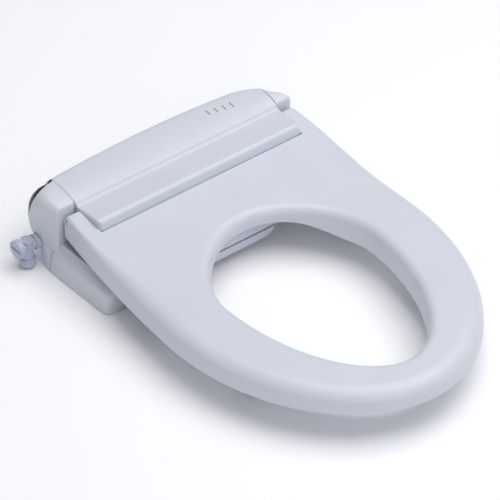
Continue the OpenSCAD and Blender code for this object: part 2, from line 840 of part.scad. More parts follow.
module drain_plug() {
    color("#c2c6d2") difference() {
        union() {
            rod_x(plug_face_x, outlet_x - 9.5, inlet_y, inlet_z, plug_r);
            rod_x(outlet_x - 9.5, outlet_x - 2, inlet_y, inlet_z, pipe_r - 2 - run_gap);
        }
        block([plug_face_x - 1, inlet_y - 9, inlet_z - 1.2], [plug_face_x + 2.5, inlet_y + 9, inlet_z + 1.2]);
    }
}

module inlet_strainer() {
    color("#d8d2b8") difference() {
        rod_x(outlet_x - 2, outlet_x + 26, inlet_y, inlet_z, pipe_r - 3);
        rod_x(outlet_x, outlet_x + 27, inlet_y, inlet_z, pipe_r - 4);
    }
}

lower_case();
top_cover();
left_side_cover();
right_side_cover();
receiver_window();
sensor_window();
indicator_lenses();
mounting_plate();
case_screws();
nozzle_housing();
nozzle_guide();
nozzle_motor();
nozzle_shutter();
drive_pinion();
nozzle_tube();
nozzle_tip();
nozzle_rack();
water_heater();
heater_sensor();
inlet_valve();
flow_pump();
supply_pipe();
heater_pipe();
control_board();
power_supply();
cord_gland();
release_button();
mirror([1, 0, 0]) hinge_damper();  // hinge_damper_left
hinge_damper();  // hinge_damper_right
inlet_body();
inlet_gasket();
drain_plug();
inlet_strainer();
seat_upper_shell();
seat_lower_shell();
seat_heater();
mirror([1, 0, 0]) hinge_pin();  // hinge_pin_left
hinge_pin();  // hinge_pin_right
seat_bumpers();
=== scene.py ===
"""Looks of an electric bidet seat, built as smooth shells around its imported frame.

Lengths in the shape functions are millimetres in the frame's own axes: X across
the seat, -Y towards the user, +Z up, origin midway between the bowl bolts.
"""

import math

import bmesh
import bpy
import numpy as np
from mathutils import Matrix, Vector


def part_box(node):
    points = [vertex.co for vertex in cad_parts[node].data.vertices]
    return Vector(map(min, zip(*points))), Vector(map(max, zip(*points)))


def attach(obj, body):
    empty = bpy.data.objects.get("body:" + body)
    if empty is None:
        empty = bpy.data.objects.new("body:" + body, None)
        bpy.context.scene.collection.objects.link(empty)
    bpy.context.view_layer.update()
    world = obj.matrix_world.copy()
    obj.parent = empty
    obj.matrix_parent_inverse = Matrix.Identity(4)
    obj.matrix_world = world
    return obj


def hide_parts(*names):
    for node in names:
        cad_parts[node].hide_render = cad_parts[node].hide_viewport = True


bl_info = {
    "name": "Electric Bidet Seat",
    "version": (1, 0, 0),
    "blender": (4, 5, 0),
    "location": "3D View > Sidebar > Bidet Seat",
    "description": "Builds the shells, fittings and finishes of an electric bidet seat",
    "category": "Object",
}

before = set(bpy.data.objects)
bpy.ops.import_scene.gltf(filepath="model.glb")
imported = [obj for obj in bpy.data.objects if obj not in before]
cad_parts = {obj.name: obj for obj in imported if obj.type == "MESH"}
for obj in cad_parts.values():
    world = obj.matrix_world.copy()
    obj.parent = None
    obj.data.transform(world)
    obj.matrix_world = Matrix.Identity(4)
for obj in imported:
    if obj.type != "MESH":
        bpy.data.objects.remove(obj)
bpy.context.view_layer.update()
MM = 0.001

# ---------- places taken from the frame ----------


def node_box(name):
    """Lowest and highest corners of a frame node, in millimetres."""
    low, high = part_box(name)
    return np.array(low) / MM, np.array(high) / MM


SEAT_LOW, SEAT_HIGH = node_box("seat_upper_shell")
COVER_LOW, COVER_HIGH = node_box("top_cover")
SIDE_LOW, SIDE_HIGH = node_box("right_side_cover")
SNOUT_LOW, SNOUT_HIGH = node_box("nozzle_housing")

# seat ring: half widths, places along Y and heights
SEAT_HALF = SEAT_HIGH[0] - 2.5
SEAT_TIP = -SEAT_LOW[1]
SEAT_BASE = SEAT_LOW[2] + 1.5
SEAT_TOP = 70.0
SEAT_MID = -220.0
SEAT_TAPER = 16.0
TAPER_POWER = 1.35
SEAT_POWER = 1.98
RISE_Y = -170.0
OPEN_HALF = 108.0
OPEN_MID = -226.0
OPEN_FRONT = 421.5
OPEN_REAR = 118.0
OPEN_POWERS = (1.9, 1.84)
ARM_IN = 149.0
ARM_END = SEAT_HIGH[1]
HINGE_Y = -2.0
HINGE_Z = 75.5
ARM_TOP = SEAT_HIGH[2]
LIP_Y = -40.2

# middle cover: ledge, riser and upper panel
COVER_HALF = COVER_HIGH[0]
BACK = COVER_HIGH[1]
TOP = COVER_HIGH[2]
PART_Z = COVER_LOW[2]
PART_FRONT_Z = 56.0
LEDGE_FRONT = -39.5
RISER_TOP = 11.0
PANEL_CREST = 46.0
PANEL_FALL = 5.0
REAR_R = 13.0

# side covers
CAP_IN = SIDE_LOW[0]
CAP_FRONT = 10.0
FOOT_HALF = SIDE_HIGH[0]
SKIRT_REACH = -SIDE_LOW[1]
SKIRT_END = 16.0

# plan of the rear wall: its furthest point, twice its radius each side, and the right-hand corner
BOW_X = -10.0
BOW_LEFT, BOW_RIGHT = 3300, 2190
CORNER_R = 78.0

# nozzle housing
SNOUT_CORNER_R = 18.0
SNOUT_SEAM = 28.0

# ---------- numbers and grids ----------


def smooth(t):
    """Smooth step: 3t^2 - 2t^3 with t held between 0 and 1."""
    t = np.clip(t, 0.0, 1.0)
    return t * t * (3 - 2 * t)


def edge_drop(radius, distance):
    """Fall of a round edge at a distance in from it: r - sqrt(r^2 - (r - d)^2)."""
    d = np.clip(distance, 0.0, radius)
    return radius - np.sqrt(np.maximum(radius**2 - (radius - d) ** 2, 0.0))


def quarter(count):
    """Insets of a quarter round of radius 1, from its wall to its top: 1 - cos(angle)."""
    return 1 - np.cos(np.linspace(0, math.pi / 2, count))


def blend(a, b, t):
    """Straight blend from a to b; t may be an array."""
    return a + (b - a) * t


def stack(*parts):
    """Lays arrays of points side by side along the grid's second axis."""
    return np.concatenate(parts, axis=1)


def fillet(corners, arc=8):
    """Open outline through corners (a, b, radius), each turned by an arc of its radius."""
    pts = []
    last = len(corners) - 1
    for i, (a, b, r) in enumerate(corners):
        q = np.array([a, b])
        if i in (0, last) or r <= 0:
            pts.append(q)
            continue
        u = np.array(corners[i - 1][:2]) - q
        v = np.array(corners[i + 1][:2]) - q
        u, v = u / np.linalg.norm(u), v / np.linalg.norm(v)
        half = math.acos(np.clip(u @ v, -1, 1)) / 2
        mid = q + (u + v) / np.linalg.norm(u + v) * r / math.sin(half)
        start, end = q + u * r / math.tan(half) - mid, q + v * r / math.tan(half) - mid
        a0 = math.atan2(start[1], start[0])
        turn = (math.atan2(end[1], end[0]) - a0 + math.pi) % (2 * math.pi) - math.pi
        for k in range(arc + 1):
            g = a0 + turn * k / arc
            pts.append(mid + r * np.array([math.cos(g), math.sin(g)]))
    return np.array(pts)


def even(path, step):
    """The path with points added so that no gap is over the step."""
    out = [path[:1]]
    for p, q in zip(path[:-1], path[1:]):
        n = max(1, int(math.ceil(np.linalg.norm(q - p) / step)))
        out.append(p + (q - p) * (np.arange(1, n + 1) / n)[:, None])
    return np.concatenate(out)


def outward(path):
    """Left-hand unit normals of an open path in its own plane."""
    t = np.gradient(path, axis=0)
    t /= np.maximum(np.linalg.norm(t, axis=1, keepdims=True), 1e-9)
    return np.stack([-t[:, 1], t[:, 0]], axis=1)


# ---------- mesh building ----------


class Shell:
    """Patches of quads gathered into one mesh; shared edges are welded at the end."""

    def __init__(self):
        self.points, self.faces, self.count = [], [], 0

    def grid(self, p, flip=False, wrap=False):
        """Adds an (n, m, 3) grid of points as quads; wrap joins its last row to its first."""
        n, m = p.shape[:2]
        index = np.arange(n * m).reshape(n, m) + self.count
        if wrap:
            index = np.vstack([index, index[:1]])
        quads = np.stack([index[:-1, :-1], index[1:, :-1], index[1:, 1:], index[:-1, 1:]], -1)
        quads = quads.reshape(-1, 4)
        self.points.append(p.reshape(-1, 3))
        self.faces += (quads[:, ::-1] if flip else quads).tolist()
        self.count += n * m

    def face(self, p):
        """Adds one flat face from its outline's points."""
        self.points.append(np.asarray(p, float))
        self.faces.append(list(range(self.count, self.count + len(p))))
        self.count += len(p)

    def join(self, other):
        """Adds another shell's patches."""
        self.points += other.points
        self.faces += [[i + self.count for i in face] for face in other.faces]
        self.count += other.count

    def both(self, p, flip=False):
        """Adds a right-hand grid and its mirror image."""
        self.grid(p, flip)
        self.grid(p * np.array([-1, 1, 1]), not flip)

    def finish(self, name, material, sharp=35, solid=0.0, weld=0.01):
        """Makes the object: welds, recalculates normals, thickens inwards if asked."""
        mesh = bpy.data.meshes.new(name)
        mesh.from_pydata((np.concatenate(self.points) * MM).tolist(), [], self.faces)
        bm = bmesh.new()
        bm.from_mesh(mesh)
        bmesh.ops.remove_doubles(bm, verts=bm.verts, dist=weld * MM)
        bmesh.ops.dissolve_degenerate(bm, edges=bm.edges, dist=weld * MM)
        bmesh.ops.recalc_face_normals(bm, faces=bm.faces)
        bm.to_mesh(mesh)
        bm.free()
        mesh.shade_smooth()
        mesh.set_sharp_from_angle(angle=math.radians(sharp))
        mesh.materials.append(material)
        piece = bpy.data.objects.new(name, mesh)
        bpy.context.scene.collection.objects.link(piece)
        if solid:
            wall = piece.modifiers.new("wall", "SOLIDIFY")
            wall.thickness = solid * MM
            wall.offset = -1
        return piece


def settle(piece, body, slot, *nodes):
    """Rides the piece on its body and hides the frame nodes it stands for; the slot is not used."""
    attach(piece, body)
    if nodes:
        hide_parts(*nodes)
    return piece


# ---------- seat ring ----------


def seat_top_z(y):
    """Top of the seat: flat, rising with the 1.5th power, then a round nose at the arm's end."""
    y = np.asarray(y, float)
    along_arm = np.clip((np.minimum(y, HINGE_Y) - RISE_Y) / (HINGE_Y - RISE_Y), 0, 1)
    rise = SEAT_TOP + (ARM_TOP - SEAT_TOP) * along_arm**1.5
    nose = ARM_END - HINGE_Y
    turn = np.sqrt(np.clip(1 - (np.maximum(y - HINGE_Y, 0) / nose) ** 2, 0, 1))
    return HINGE_Z + (rise - HINGE_Z) * turn


def seat_under_z(y):
    """Lower edge of the seat's outer wall: it rises with the square towards both ends."""
    y = np.asarray(y, float)
    rear = 10 * np.clip((y - RISE_Y) / -RISE_Y, 0, None) ** 2
    front = 4 * np.clip((-300 - y) / (SEAT_TIP - 300), 0, 1) ** 2
    return SEAT_BASE + rear + front


def side_point(s):
    """Outer outline: s 0 to 1 is the tapered side, 1 to 2 the superellipse round the tip."""
    s = np.asarray(s, float)
    y1 = ARM_END + (SEAT_MID - ARM_END) * np.minimum(s, 1)
    x1 = SEAT_HALF - SEAT_TAPER * np.maximum((y1 - SEAT_MID) / -SEAT_MID, 0) ** TAPER_POWER
    a = np.clip(s - 1, 0, 1) * math.pi / 2
    x2 = SEAT_HALF * np.maximum(np.cos(a), 0) ** (2 / SEAT_POWER)
    y2 = SEAT_MID - (SEAT_TIP + SEAT_MID) * np.sin(a) ** (2 / SEAT_POWER)
    front = s > 1
    return np.stack([np.where(front, x2, x1), np.where(front, y2, y1)], -1)


def side_of_y(y):
    """The parameter s of the outer outline at a distance y."""
    if y >= SEAT_MID:
        return (ARM_END - y) / (ARM_END - SEAT_MID)
    t = ((SEAT_MID - y) / (SEAT_TIP + SEAT_MID)) ** (SEAT_POWER / 2)
    return 1 + math.asin(t) / (math.pi / 2)


def inward(s):
    """Unit normal of the outer outline, towards the ring."""
    e = 0.004
    s = np.asarray(s, float)
    d = side_point(np.minimum(s + e, 2)) - side_point(np.maximum(s - e, 0))
    n = np.stack([d[..., 1], -d[..., 0]], -1)
    n[s >= 2] = (0, 1)
    return n / np.linalg.norm(n, axis=-1, keepdims=True)


def opening_point(g):
    """Opening outline at the angle g in degrees: 90 is its rear end, -90 its front end."""
    c, s = np.cos(np.radians(g)), np.sin(np.radians(g))
    power = np.where(s < 0, *OPEN_POWERS)
    depth = np.where(s < 0, OPEN_FRONT + OPEN_MID, -OPEN_MID - OPEN_REAR)
    x = OPEN_HALF * np.maximum(c, 0) ** (2 / power)
    return np.stack([x, OPEN_MID + depth * np.sign(s) * np.abs(s) ** (2 / power)], -1)


def opening_normal(g):
    """Unit normal of the opening's outline, out into the ring."""
    e = 0.2
    g = np.asarray(g, float)
    d = opening_point(np.minimum(g + e, 90)) - opening_point(np.maximum(g - e, -90))
    n = np.stack([d[..., 1], -d[..., 0]], -1)
    n[np.abs(g) >= 90] = 0
    n[..., 1] += np.where(np.abs(g) >= 90, np.sign(g), 0)
    return n / np.linalg.norm(n, axis=-1, keepdims=True)


def lift(xy, z):
    """Points of a plan grid with their heights."""
    return np.concatenate([xy, np.broadcast_to(z, xy.shape[:2])[..., None]], -1)


class SeatForm:
    """The ring's top as four patches per side that share their edges."""

    arm_r = 4.5
    ring_r = 22.0
    ring_rise = 18.0
    lip_r = 3.0
    open_r = 12.0
    foot_r = 1.5
    inner_z = 34.0
    inner_rear_z = 53.0
    plate_inset = 3.2
    plate_rise = 3.0

    def outer_edge(self, y):
        """Width and height of the outer round edge: full on the ring, small on the hinge arms."""
        f = smooth((-25 - np.asarray(y, float)) / 125)
        return blend(self.arm_r, self.ring_r, f), blend(self.arm_r, self.ring_rise, f)

    def inner_edge_z(self, y):
        """Lower edge of the opening's wall, lifted at the rear over the nozzle housing."""
        return blend(self.inner_z, self.inner_rear_z, smooth((np.asarray(y, float) + 190) / 70))

    def outer_columns(self, s):
        """Bottom lip, wall and round edge of the outer side for outline parameters s."""
        o, n = side_point(s)[:, None], inward(s)[:, None]
        y = o[..., 1]
        r, rz = self.outer_edge(y)
        low, high = seat_under_z(y), seat_top_z(y)
        lip = self.foot_r * quarter(4)[::-1][None, :]
        xy1 = o + n * lip[..., None]
        z1 = low + self.foot_r - np.sqrt(np.maximum(self.foot_r**2 - (self.foot_r - lip) ** 2, 0))
        f = np.linspace(0, 1, 5)[None, 1:-1]
        xy2 = np.broadcast_to(o, (len(s), 3, 2))
        z2 = blend(low + self.foot_r, np.maximum(high - rz, low + self.foot_r), f)
        h = r * quarter(12)[None, :]
        xy3 = o + n * h[..., None]
        z3 = seat_top_z(xy3[..., 1]) - edge_drop(r, h) * rz / r
        return lift(xy1, z1), lift(xy2, z2), lift(xy3, np.maximum(z3, low + self.foot_r))

    def lip_drop(self, xy):
        """Fall of the rear lip and of the arm's inner edge, round the corner between them."""
        d = np.hypot(np.maximum(xy[..., 0] - ARM_IN, 0), np.maximum(LIP_Y - xy[..., 1], 0))
        return edge_drop(self.lip_r, d)

    def build(self):
        """The whole top: hinge arms, sides, front half of the ring, and the bridge at the rear."""
        shell = Shell()
        inner = 15
        q = quarter(8)
        # arm rows, from its rear end to the lip
        nose = HINGE_Y + (ARM_END - HINGE_Y) * np.sin(np.radians(np.linspace(90, 0, 10)))
        arm_y = np.concatenate([nose, np.linspace(HINGE_Y, LIP_Y, 11)[1:]])
        s = np.array([side_of_y(y) for y in arm_y])
        lip, wall, edge = self.outer_columns(s)
        start, end = edge[:, -1, :2], np.stack([np.full(len(s), ARM_IN), arm_y], -1)
        width = start[:, 0] - end[:, 0]
        flat = np.linspace(0, 1, inner - 6)[None, :] * (1 - self.lip_r / width)[:, None]
        round_part = 1 - (self.lip_r / width)[:, None] * q[::-1][None, 1:]
        f = np.concatenate([flat, round_part], 1)[..., None]
        xy = start[:, None] + (end - start)[:, None] * f
        top = lift(xy, seat_top_z(xy[..., 1]) - self.lip_drop(xy))
        low = seat_under_z(arm_y)[:, None]
        drop = np.linspace(0, 1, 5)[None, 1:]
        inside = lift(np.repeat(end[:, None], 4, 1), blend(top[:, -1:, 2], low, drop))
        rows = stack(lip, wall, edge, top[:, 1:], inside)
        shell.both(rows)
        # rear end of the arm: the same columns let down to its lower edge
        depth = np.linspace(0, 1, 7)[:, None]
        face = np.repeat(rows[:1], 7, 0)
        level = blend(HINGE_Z, low[0, 0], depth)
        face[..., 2] = np.minimum(face[..., 2], level)
        shell.both(face, flip=True)
        # side rows behind the opening's widest line
        cluster = f[-1, :, 0]
        t = np.linspace(0, 1, 26)[1:-1]
        near = np.array([ARM_IN, LIP_Y - self.lip_r])
        far = np.array([OPEN_HALF + self.open_r, OPEN_MID])
        diagonal = np.concatenate([
            np.stack([np.full(8, ARM_IN), LIP_Y - self.lip_r * q], -1),
            near + (far - near) * t[:, None], [far]])
        s = np.array([side_of_y(y) for y in diagonal[:, 1]])
        lip, wall, edge = self.outer_columns(s)
        w = smooth(np.linspace(0, 1, len(s)))[:, None]
        f = blend(cluster[None], np.linspace(0, 1, len(cluster))[None], w)[..., None]
        start = edge[:, -1, :2]
        xy = start[:, None] + (diagonal - start)[:, None] * f
        top = lift(xy, seat_top_z(xy[..., 1]) - self.lip_drop(xy))
        shell.both(stack(lip, wall, edge, top[:, 1:]))
        # ring round the front
        count = 110
        s = np.linspace(side_of_y(OPEN_MID), 2, count)
        g = -90 * np.linspace(0, 1, count)
        lip, wall, edge = self.outer_columns(s)
        i, m = opening_point(g)[:, None], opening_normal(g)[:, None]
        start = edge[:, -1, :2]
        f = np.linspace(0, 1, len(cluster))[None, 1:, None]
        xy = start[:, None] + (i[:, 0] + m[:, 0] * self.open_r - start)[:, None] * f
        top = lift(xy, seat_top_z(xy[..., 1]))
        shell.both(stack(lip, wall, edge, top, self.opening_wall(i, m, q)))
        # bridge behind the opening
        count = 46
        t = np.linspace(0, 1, count)
        g = 90 * t
        i, m = opening_point(g)[:, None], opening_normal(g)[:, None]
        e = np.stack([ARM_IN * (1 - t), np.full(count, LIP_Y)], -1)[:, None]
        first = e + np.array([0, -1]) * (self.lip_r * q)[None, :, None]
        near, far = first[:, -1:], i + m * self.open_r
        mid = near + (far - near) * np.linspace(0, 1, 26)[None, 1:, None]
        xy = stack(first, mid)
        top = lift(xy, seat_top_z(xy[..., 1]) - self.lip_drop(xy))
        low = seat_under_z(LIP_Y)
        rear = lift(np.repeat(e, 4, 1), blend(low, top[:, :1, 2], np.linspace(0, 1, 5)[None, :-1]))
        shell.both(stack(rear, top, self.opening_wall(i, m, q)), flip=True)
        return shell

    def opening_wall(self, i, m, q):
        """Round edge and wall of the opening, down to a small round lower edge."""
        h = self.open_r * q[::-1][None, 1:]
        xy = i + m * h[..., None]
        edge = lift(xy, seat_top_z(xy[..., 1]) - edge_drop(self.open_r, h))
        low = self.inner_edge_z(i[..., 1])
        f = np.linspace(0, 1, 5)[None, 1:]
        wall = lift(np.repeat(i, 4, 1), blend(edge[:, -1:, 2], low + self.foot_r, f))
        turn = self.foot_r * quarter(4)[None, 1:]
        xy = i + m * turn[..., None]
        z = low + self.foot_r - np.sqrt(self.foot_r**2 - (self.foot_r - turn) ** 2)
        return stack(edge, wall, lift(xy, z))

    def plate(self):
        """Underside between the outer wall and the opening, a little above their lower edges."""
        shell = Shell()
        count = 120
        s = np.linspace(side_of_y(OPEN_MID), 2, count)
        g = -90 * np.linspace(0, 1, count)
        across = np.linspace(0, 1, 12)[None, :, None]
        outer = side_point(s) + inward(s) * self.plate_inset
        inner = opening_point(g) + opening_normal(g) * self.plate_inset
        front = outer[:, None] + (inner - outer)[:, None] * across
        count = 60
        t = np.linspace(0, 1, count)
        g = 90 * t
        y = blend(OPEN_MID, LIP_Y - 4, np.minimum(t * 2, 1))
        side = side_point(np.array([side_of_y(v) for v in y]))[:, 0] - self.plate_inset
        outer = np.stack([np.where(t <= 0.5, side, side * (2 - 2 * t)), y], -1)
        inner = opening_point(g) + opening_normal(g) * self.plate_inset
        rear = outer[:, None] + (inner - outer)[:, None] * across
        for part in (front, rear):
            y = part[..., 1]
            z = np.maximum(seat_under_z(y) + self.plate_rise, self.inner_edge_z(y) - 1)
            shell.both(lift(part, z))
        return shell


# ---------- base unit ----------

def rear_y(x):
    """Rear wall seen from above: a shallow parabola, turned in by an arc at the right-hand end."""
    x = np.asarray(x, float)
    bow = BACK - (x - BOW_X) ** 2 / np.where(x < BOW_X, BOW_LEFT, BOW_RIGHT)
    start = FOOT_HALF - 7 - CORNER_R
    mid = BACK - (start - BOW_X) ** 2 / BOW_RIGHT - CORNER_R
    arc = mid + np.sqrt(np.maximum(CORNER_R**2 - np.maximum(x - start, 0) ** 2, 0))
    return np.where(x > start, np.minimum(arc, bow), bow)


def panel_z(y):
    """Upper panel: a parabola that climbs from the riser to the crest, then level."""
    rest = np.clip((PANEL_CREST - np.asarray(y, float)) / (PANEL_CREST - RISER_TOP), 0, 1)
    return TOP - PANEL_FALL * rest**2


def panel_squeeze(x):
    """Length of the upper panel at x, as a share of its greatest length."""
    return (rear_y(x) - RISER_TOP) / (BACK - RISER_TOP)


def cover_path():
    """Side view of the middle cover: up the front, over the ledge and panel, down the rear."""
    front = fillet([(LEDGE_FRONT, PART_FRONT_Z, 0), (LEDGE_FRONT, 78.5, 1.5), (-35.5, 89.8, 7),
                    (5.5, 86, 6), (RISER_TOP - 1, panel_z(RISER_TOP) - 0.3, 3),
                    (RISER_TOP + 5, panel_z(RISER_TOP + 5), 0)])
    y = np.linspace(RISER_TOP + 5, PANEL_CREST, 14)[1:]
    panel = np.stack([y, panel_z(y)], -1)
    rear = fillet([(PANEL_CREST, TOP, 0), (BACK, TOP, REAR_R), (BACK, PART_Z, 0)], 12)[1:]
    return even(np.concatenate([front, panel, rear]), 3.0)


def cover_grid(path, normal, x, depth):
    """Carries the side view across X, sunk by depth along its normal; its rear follows the bow."""
    p = path[:, None] - normal[:, None] * depth[..., None]
    xs = np.broadcast_to(x, depth.shape)
    squeeze = panel_squeeze(xs)
    y = np.where(p[..., 0] > RISER_TOP, RISER_TOP + (p[..., 0] - RISER_TOP) * squeeze, p[..., 0])
    return np.stack([xs, y, p[..., 1]], -1)


def top_cover_shell():
    """Middle cover: its ends turn down with a radius that is larger at the ledge than behind."""
    path = cover_path()
    normal = outward(path)
    ledge = 1 - smooth((path[:, 0] + 8) / 14)
    front = 1 - smooth((path[:, 0] + 38) / 6)
    r = 0.8 + 2.4 * ledge + 2.6 * front
    turn = quarter(7)
    inset = r[:, None] * turn[None, :]
    fall = r[:, None] * (1 - np.sin(np.linspace(0, math.pi / 2, 7)))[None, :]
    middle = np.linspace(0, 1, 61)[None, 1:-1]
    flat = blend(-COVER_HALF + r[:, None], COVER_HALF - r[:, None], middle)
    x = stack(-COVER_HALF + inset, flat, COVER_HALF - inset[:, ::-1])
    depth = stack(fall, np.zeros(flat.shape), fall[:, ::-1])
    points = cover_grid(path, normal, x, depth)
    shell = Shell()
    shell.grid(points)
    shell.face(points[:, 0])
    shell.face(points[:, -1])
    return shell


def front_plate(outline, y0, y1, edge):
    """Rows of a plate facing the user from an outline (x, z), with a round front edge; the caller
    closes its faces.
    """
    middle = (outline.min(0) + outline.max(0)) / 2
    half = (outline.max(0) - outline.min(0)) / 2
    rows = []
    for angle in np.linspace(0, math.pi / 2, 5):
        inset = edge * (1 - math.sin(angle))
        y = y0 + edge * (1 - math.cos(angle))
        q = middle + (outline - middle) * (1 - inset / half)
        rows.append(np.column_stack([q[:, 0], np.full(len(q), y), q[:, 1]]))
    rows.append(np.column_stack([outline[:, 0], np.full(len(outline), y1), outline[:, 1]]))
    return np.stack(rows, 1)


def snout_outline(low, high, inset):
    """Nozzle housing from the front: a wide U with round corners, kept between two heights."""
    half, foot, r = SNOUT_HIGH[0] - inset, SNOUT_LOW[2] + inset, SNOUT_CORNER_R - inset
    u = fillet([(-half, SNOUT_HIGH[2], 0), (-half, foot, r), (half, foot, r),
                (half, SNOUT_HIGH[2], 0)], 14)
    u = even(u, 0.6)
    return u[(u[:, 1] >= low) & (u[:, 1] <= high)]


def panel_patch(x0, x1, y0, y1, lift_by, corner, count=14):
    """A small patch on the upper panel: a superellipse of power 8 that stands a little proud."""
    shell = Shell()
    angle = np.linspace(0, 2 * math.pi, 4 * count, endpoint=False)
    power = 2 / 8
    c, s = np.cos(angle), np.sin(angle)
    hx, hy = (x1 - x0) / 2, (y1 - y0) / 2
    ring = np.stack([np.sign(c) * np.abs(c) ** power, np.sign(s) * np.abs(s) ** power], -1)
    inner = ring * np.array([1 - corner / hx, 1 - corner / hy])
    levels = [(ring, -0.3), (ring, lift_by * 0.6), (inner, lift_by)]
    rows = []
    for shape, up in levels:
        x = (x0 + x1) / 2 + shape[:, 0] * hx
        y = (y0 + y1) / 2 + shape[:, 1] * hy
        z = panel_z(RISER_TOP + (y - RISER_TOP) / panel_squeeze(x))
        rows.append(np.stack([x, y, z + up], -1))
    shell.grid(np.stack(rows, 1), wrap=True)
    shell.face(rows[-1])
    return shell


# height, and how far the cap's side wall stands outside its plan there
LEAN = np.array([[0, 0.6], [15, -1.0], [25, -2.6], [36, -1.6], [48, 0.6], [58, 0.8],
                 [68, 0], [100, 0]])
# height, and the share of the cap's length that its wall has there: the rear is cut under
REACH = np.array([[0, 0.16], [17, 0.52], [31, 0.84], [36, 0.93], [47, 0.975], [56, 1.0],
                  [100, 1.0]])
# share of the way round the cap's plan, then the shoulder's width and fall there
SHOULDER_LEFT = np.array([[0, 6, 6], [0.3, 13, 16], [0.62, 27, 31], [0.8, 21, 24], [1, 13, 13]])
SHOULDER_RIGHT = np.array([[0, 3, 3], [0.2, 7, 9], [0.6, 14, 16], [0.8, 14, 15], [1, 13, 13]])
# receiver window: the part of the left cap behind a tilted plane and above a height
WINDOW_AT = (-(FOOT_HALF - 1.0), 55.0, 62.8)
WINDOW_NORMAL = (-0.247, 1.0, 0.295)
WINDOW_Z = 56.0
WINDOW_GAP = 0.15


def along(table, at, column=1, near=0.0):
    """A value from rows of (place, values), averaged over three near places to ease its bends."""
    return sum(np.interp(at + d, table[:, 0], table[:, column]) for d in (-near, 0, near)) / 3


def cap_outline(left, count):
    """Plan of a side cover: along its front edge, back along the side, round to the cover."""
    out, back = (CAP_IN + 26, CAP_IN + 28.5) if left else (FOOT_HALF - 12.5, FOOT_HALF - 13)
    front = fillet([(CAP_IN + 18, CAP_FRONT, 0), (out, CAP_FRONT, 3), (back, 18, 0)], 6)[1:]
    if left:
        x = np.linspace(CAP_IN, CAP_IN + 14, 12)[::-1]
        rear = np.stack([x, rear_y(-x)], -1)
        corner = fillet([(back, 18, 0), (FOOT_HALF - 1, 36, 30), (FOOT_HALF - 1, 66, 12),
                         (x[0], rear_y(-x[0]), 0)], 14)
        path = np.concatenate([front, corner[1:], rear[1:]])
    else:
        x = np.linspace(CAP_IN, FOOT_HALF - 14.5, 40)[::-1]
        path = np.concatenate([front[:-1], np.stack([x, rear_y(x)], -1)])
    d = np.concatenate([[0], np.cumsum(np.linalg.norm(np.diff(path, axis=0), axis=1))])
    t = np.linspace(0, 1, count)
    return np.stack([np.interp(t * d[-1], d, path[:, k]) for k in (0, 1)], -1), t


def foot_x(z):
    """Lower side wall shared by the cap and the skirt, easing inwards as it rises."""
    return FOOT_HALF - 0.3 - along(np.array([[0, 0.2], [16, 2.4], [25.5, 4.4], [60, 6]]), z, near=3)


def cap_grid(left):
    """Side cover: walls rise from the plan, then lines fan in over an elliptical shoulder."""
    count = 100
    outline, t = cap_outline(left, count)
    squeeze = panel_squeeze(-CAP_IN if left else CAP_IN)
    last = RISER_TOP + (BACK - REAR_R - RISER_TOP) * squeeze
    seam = np.stack([np.full(count, CAP_IN), blend(CAP_FRONT, last, t**0.85)], -1)
    table = SHOULDER_LEFT if left else SHOULDER_RIGHT
    across, down = (along(table, t, k, 0.06) for k in (1, 2))
    length = np.linalg.norm(seam - outline, axis=1)
    across = np.minimum(across, length)
    length, across = length[:, None], across[:, None]
    d = stack(across * quarter(16)[None],
              across + (length - across) * np.linspace(0, 1, 9)[None, 1:])
    share = (d / np.maximum(length, 1e-6))[..., None]
    xy = outline[:, None] + (seam - outline)[:, None] * share
    height = panel_z(RISER_TOP + (xy[..., 1] - RISER_TOP) / squeeze)
    fall = down[:, None] * edge_drop(1.0, d / across) + edge_drop(3.0, xy[..., 1] - CAP_FRONT)
    over = lift(xy, height - fall)
    z = np.linspace(0, 1, 40)[None] * over[:, :1, 2]
    side = smooth((outline[:, :1] - CAP_IN - 8) / 14) * smooth((outline[:, 1:] - 14) / 18)
    x = outline[:, :1] + along(LEAN, z, near=4) * side
    foot = (1 - smooth((z - 13) / 18)) * smooth((outline[:, :1] - CAP_IN - 16) / 7)
    x = blend(x, foot_x(z), foot)
    y = CAP_FRONT + (outline[:, 1:] - CAP_FRONT) * along(REACH, z, near=3)
    return stack(np.stack([x, y, z], -1), over[:, 1:])


# skirt's section: distance in from its foot, height, and the corner's radius
SKIRT = [(-30, 0, 0), (-1.5, 0, 0), (0, 1.2, 1), (-2.4, 16, 12), (-4.4, 25.5, 8),
         (-13.5, 33.5, 3), (-15.5, 36.5, 1.5), (-30, 36.5, 0)]
SKIRT_R = 9.0


def skirt_grid():
    """Skirt under the seat: one section carried back from its round end into the cap's foot."""
    section = fillet(SKIRT, 8)
    z, depth = section[None, :, 1], section[None, :, 0]
    ends = SKIRT_R * quarter(9)
    start = -SKIRT_REACH + SKIRT_R
    y = np.concatenate([ends - SKIRT_REACH, np.linspace(start, SKIRT_END, 34)[1:]])
    y = y[:, None] + 0 * z
    draw = np.zeros(len(y))
    draw[:9] = edge_drop(SKIRT_R, ends)
    x = FOOT_HALF - 0.2 + 0.04 * np.minimum(y, 0) + depth
    side = (depth > -5) & (z > 0.9) & (z < 25)
    x = np.where(side, blend(x, foot_x(z) + 0.1, smooth((y + 20) / 28)), x)
    inner = FOOT_HALF - 30
    x = np.where(depth > -20, np.maximum(x - draw[:, None], inner), inner)
    return np.stack([x, y, np.broadcast_to(z, x.shape)], -1)


def side_cover(left):
    """The cap and its skirt in one shell with closed front faces; also the cap's points alone."""
    mirror = np.array([-1.0 if left else 1.0, 1, 1])
    grid = cap_grid(left) * mirror
    shell = Shell()
    shell.grid(grid)
    edge = grid[0]
    shell.face(np.concatenate([edge, [[edge[-1, 0], CAP_FRONT, edge[0, 2]]]]))
    skirt = skirt_grid() * mirror
    shell.grid(skirt)
    shell.face(skirt[0])
    if not left:
        shell.face(skirt[-1])
    return shell, grid


